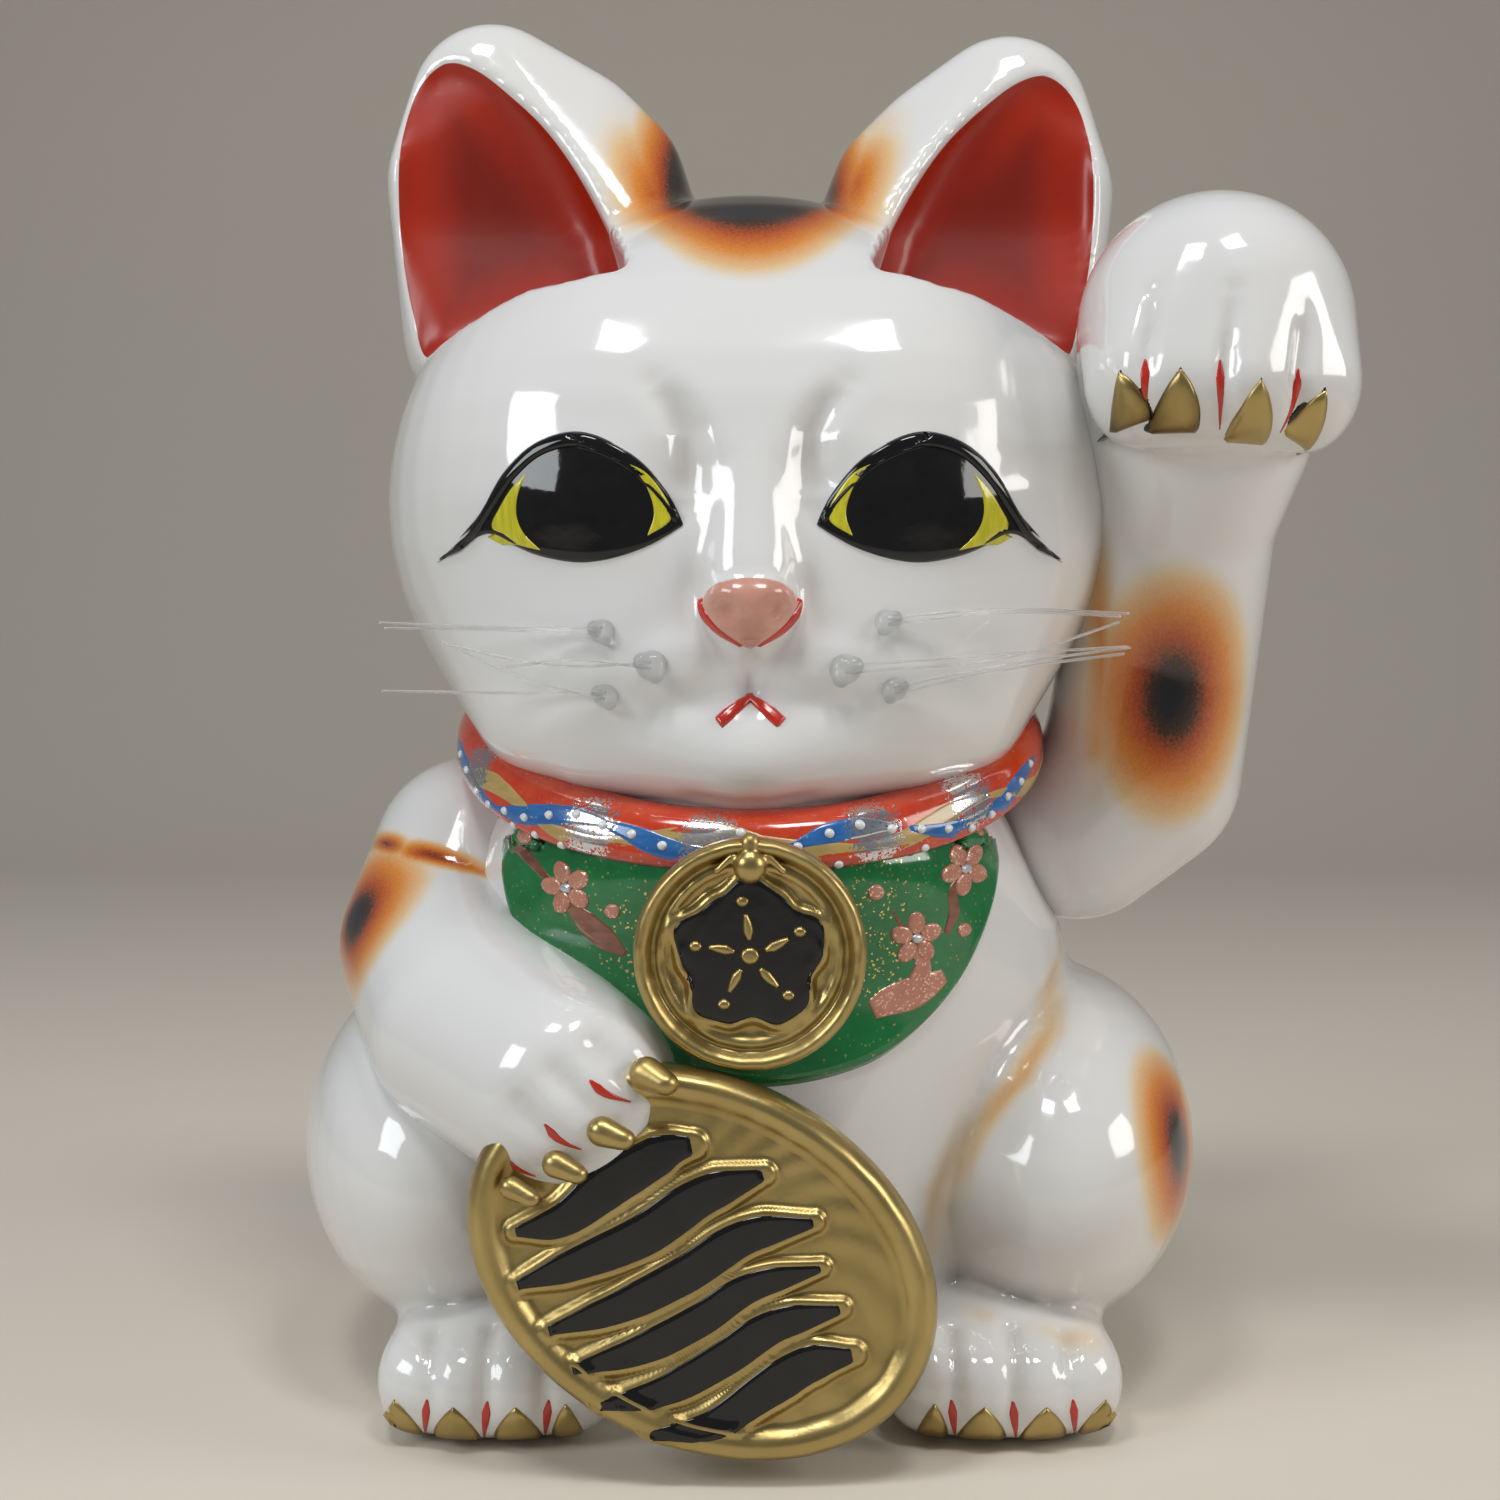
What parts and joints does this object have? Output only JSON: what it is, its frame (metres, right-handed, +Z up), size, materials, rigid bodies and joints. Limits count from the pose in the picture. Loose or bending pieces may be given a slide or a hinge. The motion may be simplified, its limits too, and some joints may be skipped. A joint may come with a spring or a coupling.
{
  "type": "beckoning cat figurine",
  "caption": "Seated hollow ceramic cat with one raised paw, the other on an oval gold coin, with bib, collar, medal and nylon whiskers.",
  "frame": {"origin": "middle of the underside, on the surface that the cat stands on", "axes": "+Z up, the cat faces -Y, and its raised paw is at +X"},
  "size_m": [0.2489, 0.2097, 0.3298],
  "materials": {
    "glaze": "glossy white glaze with airbrushed enamel",
    "bib_enamel": "glossy green enamel with painted blossom",
    "collar_enamel": "glossy red enamel with painted waves and dots",
    "gold_paint": "satin gold paint over ceramic",
    "bare_clay": "unglazed fired clay",
    "stopper": "matte soft plastic",
    "clear_glue": "clear hot-melt glue",
    "nylon": "clear nylon filament"
  },
  "bodies": {
    "figure": {"body_shell": "glaze", "head_shell": "glaze", "raised_arm": "glaze", "lowered_arm": "glaze", "tail": "glaze", "collar": "collar_enamel", "bib": "bib_enamel", "medal": "gold_paint", "coin": "gold_paint", "base_plate": "bare_clay", "glue_left_upper": "clear_glue", "glue_left_middle": "clear_glue", "glue_left_lower": "clear_glue", "glue_right_upper": "clear_glue", "glue_right_middle": "clear_glue", "glue_right_lower": "clear_glue", "whiskers_left_upper": "nylon", "whiskers_left_middle": "nylon", "whiskers_left_lower": "nylon", "whiskers_right_upper": "nylon", "whiskers_right_middle": "nylon", "whiskers_right_lower": "nylon"},
    "stopper": {"base_stopper": "stopper"}
  },
  "joints": [
    {"name": "stopper_pull", "type": "slide", "parent": "figure", "child": "stopper", "axis": [0, 0, -1], "range_m": [0, 0.02]}
  ]
}
